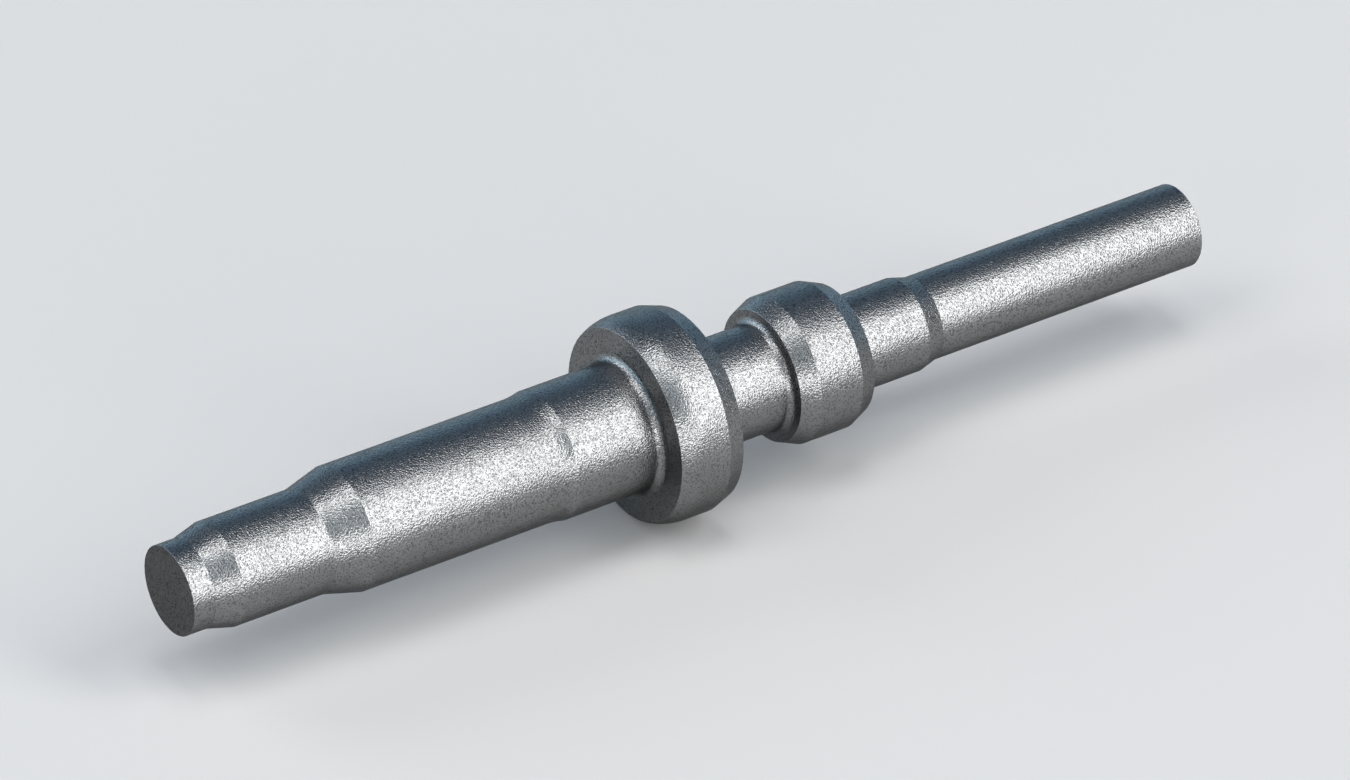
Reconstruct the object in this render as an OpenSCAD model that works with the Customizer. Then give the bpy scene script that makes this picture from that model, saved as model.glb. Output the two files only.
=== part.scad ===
// Input shaft for a gearbox, a forged and shot-blasted steel blank in one piece.
// Every stretch is round about one axis. Along it come a spigot, a journal, the gear seat with
// a low step, a heavy flange, a neck, a collar, a second journal and a long plain stem.
// The shaft keeps the frame that it has in its bearings: its axis is level and runs along X,
// and the origin is on that axis in the middle of the near journal.

/* [Near end] */
// Diameter of the spigot at the near end face
spigot_d = 25.8; // [20:0.1:29]
// Length of the spigot
spigot_l = 6.65; // [3:0.05:20]
// Diameter of the near journal
journal_d = 30; // [27:0.1:34]
// Length of the near journal, between its cones
journal_l = 28.3; // [15:0.1:50]

/* [Gear seat] */
// Diameter of the long gear seat
seat_d = 36; // [32:0.1:42]
// Length of the gear seat, up to the hollow of the step
seat_l = 59.5; // [35:0.1:100]
// Height of the low step at the end of the gear seat
step_h = 0.72; // [0.3:0.02:1.5]
// Slope of the step's hollow at its sharp edge, in degrees
step_slope = 15; // [8:1:40]
// Length of the stepped-up seat in front of the flange
shoulder_l = 27.05; // [15:0.05:50]

/* [Flange] */
// Diameter of the flange's rim
flange_d = 59.9; // [50:0.1:80]
// Length of the cylindrical rim
flange_rim_l = 7.55; // [3:0.05:20]
// Radius of the crown that rounds the rim into the front face
crown_r = 15.95; // [8:0.05:30]
// How far the front face's edge lies below the rim
crown_drop = 1.81; // [0.5:0.01:3]
// Length of the chamfer behind the rim
flange_chamfer_l = 5.4; // [2:0.1:10]
// How far that chamfer drops below the rim
flange_chamfer_drop = 1.72; // [0.5:0.02:4]
// Radius of the fillet at the foot of the front face
flange_fillet_r = 2.2; // [0.5:0.1:3]

/* [Neck and collar] */
// Diameter of the neck between flange and collar
neck_d = 30.7; // [26:0.1:34]
// Length of the neck
neck_l = 25.15; // [15:0.05:50]
// Radius of the fillets at both ends of the neck
neck_fillet_r = 2.1; // [0.5:0.1:3]
// Diameter of the collar
collar_d = 43.15; // [40:0.05:49]
// Length of the collar's cylindrical rim
collar_rim_l = 13.8; // [5:0.1:30]
// Length of the chamfer at each end of the collar
collar_chamfer_l = 5.45; // [2:0.05:8]
// How far the collar's chamfers drop below its rim
collar_chamfer_drop = 2.28; // [0.5:0.02:2.8]

/* [Far end] */
// Diameter of the far journal
far_journal_d = 27.55; // [25:0.05:32]
// Length of the far journal, from the collar to its cone
far_journal_l = 22.65; // [10:0.05:50]
// Radius of the fillet between the collar and the far journal
far_fillet_r = 2.1; // [0.5:0.1:2.8]
// Diameter of the stem that carries the clutch
stem_d = 24.55; // [20:0.05:25]
// Length of the stem
stem_l = 89.6; // [40:0.1:160]

/* [Cones] */
// Slope of the three cones between barrels, in degrees
cone_slope = 15; // [8:1:40]

/* [Hidden] */
$fn = 180;

// Radii of the barrels
spigot_r = spigot_d / 2;
journal_r = journal_d / 2;
seat_r = seat_d / 2;
shoulder_r = seat_r + step_h;
flange_r = flange_d / 2;
neck_r = neck_d / 2;
collar_r = collar_d / 2;
far_journal_r = far_journal_d / 2;
stem_r = stem_d / 2;

// The step's hollow is an arc that leaves the seat level and climbs to the step's slope
step_arc_r = step_h / (1 - cos(step_slope));
step_l = step_arc_r * sin(step_slope);

// The crown is an arc that meets the rim level and is cut off by the front face
crown_centre_r = flange_r - crown_r;
crown_l = sqrt(crown_r ^ 2 - (crown_r - crown_drop) ^ 2);

// How deep the added fillets and arcs are rooted in solid metal
root = 1;

// Stations along the axis, from the near end face
lead_cone_z = spigot_l;
journal_z = lead_cone_z + cone_l(spigot_r, journal_r);
seat_cone_z = journal_z + journal_l;
seat_z = seat_cone_z + cone_l(journal_r, seat_r);
step_z = seat_z + seat_l;
shoulder_z = step_z + step_l;
flange_z = shoulder_z + shoulder_l;
rim_z = flange_z + crown_l;
flange_chamfer_z = rim_z + flange_rim_l;
neck_z = flange_chamfer_z + flange_chamfer_l;
collar_z = neck_z + neck_l;
collar_rim_z = collar_z + collar_chamfer_l;
collar_chamfer_z = collar_rim_z + collar_rim_l;
far_journal_z = collar_chamfer_z + collar_chamfer_l;
far_cone_z = far_journal_z + far_journal_l;
stem_z = far_cone_z + cone_l(far_journal_r, stem_r);
shaft_l = stem_z + stem_l;

// The station of the origin
origin_z = journal_z + journal_l / 2;

// Length of a cone between two radii
function cone_l(r_a, r_b) = abs(r_b - r_a) / tan(cone_slope);

// The straight-sided half section, as [radius, station]
module barrels() {
    polygon([
        [0, 0],
        [spigot_r, 0],
        [spigot_r, lead_cone_z],
        [journal_r, journal_z],
        [journal_r, seat_cone_z],
        [seat_r, seat_z],
        [seat_r, shoulder_z],
        [shoulder_r, shoulder_z],
        [shoulder_r, flange_z],
        [flange_r - crown_drop, flange_z],
        [flange_r, rim_z],
        [flange_r, flange_chamfer_z],
        [flange_r - flange_chamfer_drop, neck_z],
        [neck_r, neck_z],
        [neck_r, collar_z],
        [collar_r - collar_chamfer_drop, collar_z],
        [collar_r, collar_rim_z],
        [collar_r, collar_chamfer_z],
        [collar_r - collar_chamfer_drop, far_journal_z],
        [far_journal_r, far_journal_z],
        [far_journal_r, far_cone_z],
        [stem_r, stem_z],
        [stem_r, shaft_l],
        [0, shaft_l]
    ]);
}

// The hollow that leads up to the low step
module step_hollow() {
    difference() {
        translate([seat_r - root, step_z])
            square([step_h + 2 * root, step_l]);
        translate([seat_r + step_arc_r, step_z])
            circle(step_arc_r);
    }
}

// The rounded front of the flange
module crown() {
    intersection() {
        translate([crown_centre_r, rim_z])
            circle(crown_r);
        translate([crown_centre_r, flange_z])
            square([crown_r + root, crown_l]);
    }
}

// A fillet between a barrel of radius r and a wall at station z.
// side is 1 where the barrel ends at the wall and -1 where it starts there.
module fillet(r, z, fillet_r, side) {
    difference() {
        translate([r - root, side > 0 ? z - fillet_r : z - root])
            square(fillet_r + root);
        translate([r + fillet_r, z - side * fillet_r])
            circle(fillet_r);
    }
}

// The whole half section
module half_section() {
    barrels();
    step_hollow();
    crown();
    fillet(shoulder_r, flange_z, flange_fillet_r, 1);
    fillet(neck_r, neck_z, neck_fillet_r, -1);
    fillet(neck_r, collar_z, neck_fillet_r, 1);
    fillet(far_journal_r, far_journal_z, far_fillet_r, -1);
}

// The shaft, turned from its half section
module input_shaft() {
    color("#666d73")
    translate([-origin_z, 0, 0])
    rotate([0, 90, 0])
    rotate_extrude()
    half_section();
}

input_shaft();
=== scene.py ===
# Looks of the forged input shaft: a fine lathe mesh with a shot-blasted steel surface, on a pale
# floor under soft boxes. Lengths are in metres, and the shaft's axis is the X axis.
import math

import bpy
from mathutils import Matrix, Vector, noise


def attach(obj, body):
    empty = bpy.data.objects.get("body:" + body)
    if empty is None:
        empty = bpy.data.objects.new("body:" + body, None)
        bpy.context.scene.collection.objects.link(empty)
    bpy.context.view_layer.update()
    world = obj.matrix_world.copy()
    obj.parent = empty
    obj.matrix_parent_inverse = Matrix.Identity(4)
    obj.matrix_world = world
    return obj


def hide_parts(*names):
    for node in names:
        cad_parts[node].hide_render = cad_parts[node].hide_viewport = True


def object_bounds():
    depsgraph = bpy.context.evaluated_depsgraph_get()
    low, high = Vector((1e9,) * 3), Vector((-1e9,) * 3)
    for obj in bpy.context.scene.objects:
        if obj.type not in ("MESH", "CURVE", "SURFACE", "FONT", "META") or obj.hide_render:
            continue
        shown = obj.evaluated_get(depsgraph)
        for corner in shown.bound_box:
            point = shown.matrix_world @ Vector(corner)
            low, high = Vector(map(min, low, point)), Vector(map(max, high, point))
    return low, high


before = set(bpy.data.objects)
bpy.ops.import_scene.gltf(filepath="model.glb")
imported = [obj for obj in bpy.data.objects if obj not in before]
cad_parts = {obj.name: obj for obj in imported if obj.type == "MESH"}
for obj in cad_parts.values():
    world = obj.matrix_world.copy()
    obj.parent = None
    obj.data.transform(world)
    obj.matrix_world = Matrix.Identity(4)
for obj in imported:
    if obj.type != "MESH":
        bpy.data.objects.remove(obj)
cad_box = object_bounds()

MM = 0.001

# The shaft's barrels, as in the construction
SPIGOT_R = 12.9 * MM
JOURNAL_R = 15.0 * MM
SEAT_R = 18.0 * MM
STEP_H = 0.72 * MM
FLANGE_R = 29.95 * MM
NECK_R = 15.35 * MM
COLLAR_R = 21.575 * MM
FAR_JOURNAL_R = 13.775 * MM
STEM_R = 12.275 * MM

SPIGOT_L = 6.65 * MM
JOURNAL_L = 28.3 * MM
SEAT_L = 59.5 * MM
SHOULDER_L = 27.05 * MM
FLANGE_RIM_L = 7.55 * MM
FLANGE_CHAMFER_L = 5.4 * MM
NECK_L = 25.15 * MM
COLLAR_RIM_L = 13.8 * MM
COLLAR_CHAMFER_L = 5.45 * MM
FAR_JOURNAL_L = 22.65 * MM
STEM_L = 89.6 * MM

CONE_SLOPE = math.radians(15)
STEP_SLOPE = math.radians(15)
CROWN_R = 15.95 * MM
CROWN_DROP = 1.81 * MM
FLANGE_CHAMFER_DROP = 1.72 * MM
COLLAR_CHAMFER_DROP = 2.28 * MM
FLANGE_FILLET_R = 2.2 * MM
NECK_FILLET_R = 2.1 * MM
FAR_FILLET_R = 2.1 * MM

# How far the blasting has rounded the sharp edges and the blunt ones
EDGE_R = 0.18 * MM
SOFT_EDGE_R = 0.5 * MM

# The lathe mesh: segments round the axis, the longest step along it, how close to an edge the next
# ring lies, and the largest turn between two points of an arc
SEGMENTS = 192
RING_STEP = 1.6 * MM
EDGE_HOLD = 0.12 * MM
ARC_STEP = math.radians(5)

# The forging's unevenness: (depth, size of the waves)
WAVES = ((0.035 * MM, 13 * MM), (0.012 * MM, 4.5 * MM))

# The camera, fitted to the photograph's 1350 by 780 pixels: where the near end face's centre is
# in them, how far it is from the lens, and the shaft's axis as the camera sees it
PHOTO_W, PHOTO_H = 1350, 780
NEAR_FACE_PX = (169.23, 590.97)
LENS_MM, SENSOR_MM = 250, 36
NEAR_FACE_DEPTH = 2.5
AXIS_RIGHT, AXIS_UP, AXIS_AWAY = 0.82921, 0.30031, 0.47140


def cone_l(r_a, r_b):
    """Length of a cone between two radii."""
    return abs(r_b - r_a) / math.tan(CONE_SLOPE)


def outline():
    """Corners of the half section as (x, radius, rounding), from the near end to the far end."""
    corners = []
    x = -(SPIGOT_L + cone_l(SPIGOT_R, JOURNAL_R) + JOURNAL_L / 2)

    def corner(length, radius, rounding):
        nonlocal x
        x += length
        corners.append((x, radius, rounding))

    corner(0, 0, 0)
    corner(0, SPIGOT_R, EDGE_R)
    corner(SPIGOT_L, SPIGOT_R, SOFT_EDGE_R)
    corner(cone_l(SPIGOT_R, JOURNAL_R), JOURNAL_R, SOFT_EDGE_R)
    corner(JOURNAL_L, JOURNAL_R, SOFT_EDGE_R)
    corner(cone_l(JOURNAL_R, SEAT_R), SEAT_R, SOFT_EDGE_R)

    step_arc_r = STEP_H / (1 - math.cos(STEP_SLOPE))
    x += SEAT_L
    corners += arc(x, SEAT_R + step_arc_r, step_arc_r, -math.pi / 2, STEP_SLOPE)
    x += step_arc_r * math.sin(STEP_SLOPE)
    corner(SHOULDER_L, SEAT_R + STEP_H, FLANGE_FILLET_R)

    crown_slope = math.acos(1 - CROWN_DROP / CROWN_R)
    corner(0, FLANGE_R - CROWN_DROP, EDGE_R)
    x += CROWN_R * math.sin(crown_slope)
    corners += arc(x, FLANGE_R - CROWN_R, CROWN_R, math.pi / 2 + crown_slope, -crown_slope)[1:]

    corner(FLANGE_RIM_L, FLANGE_R, EDGE_R)
    corner(FLANGE_CHAMFER_L, FLANGE_R - FLANGE_CHAMFER_DROP, EDGE_R)
    corner(0, NECK_R, NECK_FILLET_R)
    corner(NECK_L, NECK_R, NECK_FILLET_R)
    corner(0, COLLAR_R - COLLAR_CHAMFER_DROP, EDGE_R)
    corner(COLLAR_CHAMFER_L, COLLAR_R, EDGE_R)
    corner(COLLAR_RIM_L, COLLAR_R, EDGE_R)
    corner(COLLAR_CHAMFER_L, COLLAR_R - COLLAR_CHAMFER_DROP, EDGE_R)
    corner(0, FAR_JOURNAL_R, FAR_FILLET_R)
    corner(FAR_JOURNAL_L, FAR_JOURNAL_R, SOFT_EDGE_R)
    corner(cone_l(FAR_JOURNAL_R, STEM_R), STEM_R, SOFT_EDGE_R)
    corner(STEM_L, STEM_R, EDGE_R)
    corner(0, 0, 0)
    return corners


def arc(x, radius, arc_r, start, sweep):
    """Points on an arc of the half section, as corners with no rounding of their own."""
    steps = max(2, math.ceil(abs(sweep) / ARC_STEP))
    angles = [start + sweep * i / steps for i in range(steps + 1)]
    return [(x + arc_r * math.cos(a), radius + arc_r * math.sin(a), 0) for a in angles]


def rounded(corners):
    """The half section's points, with each corner replaced by its rounding."""
    points = []
    for i, (x, radius, rounding) in enumerate(corners):
        here = Vector((x, radius))
        if not rounding:
            points.append(here)
            continue
        back = (Vector(corners[i - 1][:2]) - here).normalized()
        ahead = (Vector(corners[i + 1][:2]) - here).normalized()
        half = back.angle(ahead) / 2
        centre = here + (back + ahead).normalized() * rounding / math.sin(half)
        first = here + back * rounding / math.tan(half) - centre
        last = here + ahead * rounding / math.tan(half) - centre
        start = math.atan2(first.y, first.x)
        sweep = math.atan2(first.x * last.y - first.y * last.x, first.dot(last))
        points += [Vector(point[:2]) for point in arc(*centre, rounding, start, sweep)]
    return points


def refined(points):
    """The same points with more between them: no further apart than a ring step, and one close to
    each end of a long stretch, which keeps the shading of the edges crisp."""
    fine = [points[0]]
    for here, ahead in zip(points, points[1:]):
        length = (ahead - here).length
        steps = max(1, math.ceil(length / RING_STEP))
        stops = [k / steps for k in range(1, steps + 1)]
        if steps > 1:
            stops = sorted([*stops, EDGE_HOLD / length, 1 - EDGE_HOLD / length])
        fine += [here.lerp(ahead, stop) for stop in stops]
    return fine


def uneven(point, normal):
    """The point, sunk a little into the metal as a forged surface is."""
    sink = sum(depth * (0.5 + 0.5 * noise.noise(point / size)) for depth, size in WAVES)
    return point - normal * sink


def lathe_faces(rings):
    """Faces over a number of rings, with a fan to the vertex on the axis at each end."""
    faces = []
    last = rings * SEGMENTS + 1
    for k in range(SEGMENTS):
        after = (k + 1) % SEGMENTS
        faces.append((0, 1 + after, 1 + k))
        for i in range(rings - 1):
            low = 1 + i * SEGMENTS
            faces.append((low + k, low + after, low + SEGMENTS + after, low + SEGMENTS + k))
        faces.append((last, last - SEGMENTS + k, last - SEGMENTS + after))
    return faces


def lathe(name, points):
    """A mesh turned about X from half section points that start and end on the axis."""
    rings = points[1:-1]
    verts = [Vector((points[0].x, 0, 0))]
    for i, here in enumerate(rings):
        along = (points[i + 2] - points[i]).normalized()
        for k in range(SEGMENTS):
            angle = math.tau * k / SEGMENTS
            spoke = Vector((0, math.cos(angle), math.sin(angle)))
            normal = spoke * along.x - Vector((1, 0, 0)) * along.y
            verts.append(uneven(Vector((here.x, 0, 0)) + spoke * here.y, normal))
    verts.append(Vector((points[-1].x, 0, 0)))

    mesh = bpy.data.meshes.new(name)
    mesh.from_pydata(verts, [], lathe_faces(len(rings)))
    mesh.polygons.foreach_set("use_smooth", [True] * len(mesh.polygons))
    mesh.update()
    piece = bpy.data.objects.new(name, mesh)
    bpy.context.scene.collection.objects.link(piece)
    return piece


def node(tree, kind, **inputs):
    """A shader node with values for its inputs, where an underscore in a name stands for a space."""
    made = tree.nodes.new(kind)
    for name, value in inputs.items():
        made.inputs[name.replace("_", " ")].default_value = value
    return made


def ramp(tree, source, stops):
    """A colour ramp over a source, with stops of (position, grey or colour)."""
    made = tree.nodes.new("ShaderNodeValToRGB")
    tree.links.new(source, made.inputs["Fac"])
    elements = made.color_ramp.elements
    while len(elements) < len(stops):
        # Where it starts is no matter, as each element gets its stop's position below
        elements.new(0.5)
    for element, (position, colour) in zip(elements, stops):
        element.position = position
        element.color = (*colour, 1)
    return made.outputs["Color"]


def grey(level):
    """A grey of one level."""
    return (level, level, level)


def noise_texture(tree, place, size, **inputs):
    """A noise texture over a place, with features of about that size."""
    made = node(tree, "ShaderNodeTexNoise", Scale=1 / size, **inputs)
    tree.links.new(place, made.inputs["Vector"])
    return made.outputs["Fac"]


# Shot-blasted steel: its grain, its shallow pits and its blotches
GRAIN_SIZE = 0.48 * MM
GRAIN_DEPTH = 0.122 * MM
PIT_SIZE = 2.2 * MM
PIT_DEPTH = 0.022 * MM
BLOTCH_SIZE = 14 * MM
BLOTCH_DETAIL = 4.0
BLOTCH_BREAKUP = 0.6

# Colour and roughness of the dark and the light blotches
STEEL_DARK = (0.234, 0.235, 0.236)
STEEL_LIGHT = (0.264, 0.265, 0.266)
DARK_ROUGHNESS = 0.315
LIGHT_ROUGHNESS = 0.285

# Painted shade: how dark the grain's hollows and the two end faces are made; and what a grazing
# reflection keeps
HOLLOW_PAINTED_SHADE = 0.54
END_FACE_PAINTED_SHADE = 0.6
STEEL_GRAZING = 0.34

# Between which values a noise texture mostly runs
NOISE_LOW, NOISE_MIDDLE, NOISE_HIGH = 0.3, 0.5, 0.7


def multiplied(tree, colour, shade):
    """The product of two colours."""
    made = tree.nodes.new("ShaderNodeMix")
    made.data_type = "RGBA"
    made.blend_type = "MULTIPLY"
    made.inputs["Factor"].default_value = 1.0
    tree.links.new(colour, made.inputs["A"])
    tree.links.new(shade, made.inputs["B"])
    return made.outputs["Result"]


def painted_end_shade(tree, place):
    """Painted shade: 1 but for the two end faces, which it darkens so that they reflect darker than the
    rounds.
    """
    near_end, far_end = cad_box[0].x, cad_box[1].x
    split = tree.nodes.new("ShaderNodeSeparateXYZ")
    tree.links.new(place, split.inputs["Vector"])
    from_middle = tree.nodes.new("ShaderNodeMath")
    from_middle.operation = "SUBTRACT"
    tree.links.new(split.outputs["X"], from_middle.inputs[0])
    from_middle.inputs[1].default_value = (near_end + far_end) / 2
    distance = tree.nodes.new("ShaderNodeMath")
    distance.operation = "ABSOLUTE"
    tree.links.new(from_middle.outputs["Value"], distance.inputs[0])
    half = (far_end - near_end) / 2
    shade = node(tree, "ShaderNodeMapRange", From_Min=half - EDGE_R, From_Max=half - EDGE_R / 2,
                 To_Min=1.0, To_Max=END_FACE_PAINTED_SHADE)
    tree.links.new(distance.outputs["Value"], shade.inputs["Value"])
    return shade.outputs["Result"]


def steel_colour(tree, place, grain, blotches):
    """The steel's colour, with blotches, painted shade in the grain's hollows and painted shade on the
    end faces.
    """
    blotched = ramp(tree, blotches, ((NOISE_LOW, STEEL_DARK), (NOISE_HIGH, STEEL_LIGHT)))
    # Painted shade: the grain's hollows are darkened as shade falls in them
    painted_hollow_shade = ramp(tree, grain, ((NOISE_LOW, grey(HOLLOW_PAINTED_SHADE)), (NOISE_MIDDLE, grey(1))))
    # Painted shade on the two end faces, darkening what they reflect
    return multiplied(tree, multiplied(tree, blotched, painted_hollow_shade), painted_end_shade(tree, place))


def steel_roughness(tree, blotches):
    """The steel's roughness, duller in the dark blotches."""
    stops = ((NOISE_LOW, grey(DARK_ROUGHNESS)), (NOISE_HIGH, grey(LIGHT_ROUGHNESS)))
    return ramp(tree, blotches, stops)


def steel_normal(tree, grain, pits):
    """The steel's normal, with the grain over the pits."""
    pitted = node(tree, "ShaderNodeBump", Strength=1.0, Distance=PIT_DEPTH)
    tree.links.new(pits, pitted.inputs["Height"])
    grainy = node(tree, "ShaderNodeBump", Strength=1.0, Distance=GRAIN_DEPTH)
    tree.links.new(grain, grainy.inputs["Height"])
    tree.links.new(pitted.outputs["Normal"], grainy.inputs["Normal"])
    return grainy.outputs["Normal"]


def forged_steel():
    """Raw forged steel: grainy from the blasting, with faint darker and duller blotches."""
    material = bpy.data.materials.new("forged_steel")
    material.use_nodes = True
    tree = material.node_tree
    place = tree.nodes.new("ShaderNodeTexCoord").outputs["Object"]
    grain = noise_texture(tree, place, GRAIN_SIZE, Detail=0.0)
    pits = noise_texture(tree, place, PIT_SIZE, Detail=0.0)
    blotches = noise_texture(tree, place, BLOTCH_SIZE, Detail=BLOTCH_DETAIL, Roughness=BLOTCH_BREAKUP)

    shader = tree.nodes["Principled BSDF"]
    shader.inputs["Metallic"].default_value = 1.0
    shader.inputs["Specular Tint"].default_value = (*grey(STEEL_GRAZING), 1)
    tree.links.new(steel_colour(tree, place, grain, blotches), shader.inputs["Base Color"])
    tree.links.new(steel_roughness(tree, blotches), shader.inputs["Roughness"])
    tree.links.new(steel_normal(tree, grain, pits), shader.inputs["Normal"])
    return material


def make_shaft():
    """The shaft itself, in place of the plain solid."""
    shaft = lathe("input_shaft_forging", refined(rounded(outline())))
    shaft.data.materials.append(forged_steel())
    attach(shaft, "root")
    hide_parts("input_shaft")


# The floor, by half its side, and its pale matt finish
FLOOR_HALF = 12.0
FLOOR_COLOUR = (0.53, 0.515, 0.505)
FLOOR_ROUGHNESS = 0.9
FLOOR_SPECULAR = 0.1


def make_floor():
    """A plain pale floor that the flange touches."""
    half, drop = FLOOR_HALF, cad_box[0].z
    corners = [(-half, -half, drop), (half, -half, drop), (half, half, drop), (-half, half, drop)]
    mesh = bpy.data.meshes.new("floor")
    mesh.from_pydata(corners, [], [(0, 1, 2, 3)])
    floor = bpy.data.objects.new("floor", mesh)
    bpy.context.scene.collection.objects.link(floor)
    material = bpy.data.materials.new("pale_floor")
    material.use_nodes = True
    shader = material.node_tree.nodes["Principled BSDF"]
    shader.inputs["Base Color"].default_value = (*FLOOR_COLOUR, 1)
    shader.inputs["Roughness"].default_value = FLOOR_ROUGHNESS
    shader.inputs["Specular IOR Level"].default_value = FLOOR_SPECULAR
    mesh.materials.append(material)


def view_axes():
    """Camera right, up and forward, so that the shaft's axis runs as it does in the photograph."""
    turn = math.acos(AXIS_RIGHT)
    look_down = math.asin(AXIS_UP / math.hypot(AXIS_UP, AXIS_AWAY))
    right = Vector((math.cos(turn), -math.sin(turn), 0))
    level = Vector((math.sin(turn), math.cos(turn), 0))
    forward = level * math.cos(look_down) - Vector((0, 0, math.sin(look_down)))
    return right, right.cross(forward), forward


def make_camera():
    """A camera that puts the near end face's centre where the photograph has it."""
    right, up, forward = view_axes()
    scale = NEAR_FACE_DEPTH * SENSOR_MM / LENS_MM / PHOTO_W
    across = (NEAR_FACE_PX[0] - PHOTO_W / 2) * scale
    above = (PHOTO_H / 2 - NEAR_FACE_PX[1]) * scale
    near_face = Vector((cad_box[0].x, 0, 0))
    data = bpy.data.cameras.new("camera")
    data.lens = LENS_MM
    data.sensor_width = SENSOR_MM
    camera = bpy.data.objects.new("camera", data)
    bpy.context.scene.collection.objects.link(camera)
    place = near_face - right * across - up * above - forward * NEAR_FACE_DEPTH
    turned = Matrix((right, up, -forward)).transposed().to_4x4()
    camera.matrix_world = Matrix.Translation(place) @ turned
    bpy.context.scene.camera = camera


# The soft boxes: their distance from the shaft's middle, and their colours
LAMP_DISTANCE = 6.0
SHAFT_MIDDLE = (0.14, 0, 0)
LAMP_COLOUR = (1.0, 1.0, 1.0)
COOL_COLOUR = (0.82, 0.94, 1.0)


def soft_box(name, azimuth, elevation, width, height, level, colour=LAMP_COLOUR, roll=0.0):
    """A soft box as seen from the shaft: its direction and its width and height are in degrees.

    Azimuth 0 is towards -Y and 90 towards +X. The level is its brightness, where 1 is white.
    """
    turn, rise = math.radians(azimuth), math.radians(elevation)
    toward = Vector((math.sin(turn) * math.cos(rise), -math.cos(turn) * math.cos(rise), math.sin(rise)))
    lamp = bpy.data.lights.new(name, "AREA")
    lamp.shape = "RECTANGLE"
    lamp.size = 2 * LAMP_DISTANCE * math.tan(math.radians(width) / 2)
    lamp.size_y = 2 * LAMP_DISTANCE * math.tan(math.radians(height) / 2)
    lamp.energy = level * math.pi * lamp.size * lamp.size_y
    lamp.color = colour
    box = bpy.data.objects.new(name, lamp)
    bpy.context.scene.collection.objects.link(box)
    box.rotation_mode = "QUATERNION"
    facing = toward.to_track_quat("Z", "Y")
    box.rotation_quaternion = facing @ Matrix.Rotation(math.radians(roll), 3, "Z").to_quaternion()
    box.location = toward * LAMP_DISTANCE + Vector(SHAFT_MIDDLE)
    box.visible_camera = False


# The room's colours by height, in front of the shaft and behind it, where 1 is straight up, and
# how far to each side of the shaft's vertical plane they blend
ROOM_LEVEL = 1.7
ROOM_BLEND = 0.3
ROOM_IN_FRONT = ((0.0, (0.15, 0.15, 0.15)), (0.4, (0.14, 0.15, 0.17)), (1.0, (0.08, 0.10, 0.12)))
ROOM_BEHIND = ((0.0, (2.6, 3.7, 4.3)), (0.1, (0.36, 0.6, 0.82)), (0.5, (0.07, 0.12, 0.18)),
               (1.0, (0.07, 0.09, 0.12)))


def make_room():
    """A dim room: grey in front of the shaft, and blue behind it with a bright foot."""
    world = bpy.data.worlds.new("room")
    bpy.context.scene.world = world
    world.use_nodes = True
    tree = world.node_tree
    place = tree.nodes.new("ShaderNodeSeparateXYZ")
    tree.links.new(tree.nodes.new("ShaderNodeTexCoord").outputs["Generated"], place.inputs["Vector"])
    behind = node(tree, "ShaderNodeMapRange", From_Min=-ROOM_BLEND, From_Max=ROOM_BLEND)
    tree.links.new(place.outputs["Y"], behind.inputs["Value"])
    mixed = tree.nodes.new("ShaderNodeMix")
    mixed.data_type = "RGBA"
    tree.links.new(behind.outputs["Result"], mixed.inputs["Factor"])
    tree.links.new(ramp(tree, place.outputs["Z"], ROOM_IN_FRONT), mixed.inputs["A"])
    tree.links.new(ramp(tree, place.outputs["Z"], ROOM_BEHIND), mixed.inputs["B"])
    background = tree.nodes["Background"]
    tree.links.new(mixed.outputs["Result"], background.inputs["Color"])
    background.inputs["Strength"].default_value = ROOM_LEVEL


def make_lights():
    """Soft boxes round the shaft. The right one makes the barrels' long highlight. The top, the front
    and the low one show in the cones and the crown, and the others light the flange's front face."""
    soft_box("right_box", azimuth=34, elevation=32, width=20, height=66, level=6.5, roll=-23)
    soft_box("top_box", azimuth=8, elevation=87, width=22, height=23, level=6.1)
    soft_box("left_box", azimuth=-62, elevation=20, width=20, height=23, level=2.5)
    soft_box("low_box", azimuth=-14, elevation=6, width=50, height=11, level=8.2)
    soft_box("front_box", azimuth=-6, elevation=48, width=34, height=52, level=0.78,
             colour=COOL_COLOUR)
    soft_box("high_box", azimuth=-92, elevation=54, width=30, height=34, level=3.2)
    soft_box("back_box", azimuth=-148, elevation=30, width=28, height=26, level=3.6)


make_camera()
make_floor()
make_shaft()
make_lights()
make_room()

bpy.context.scene.view_settings.view_transform = "Standard"
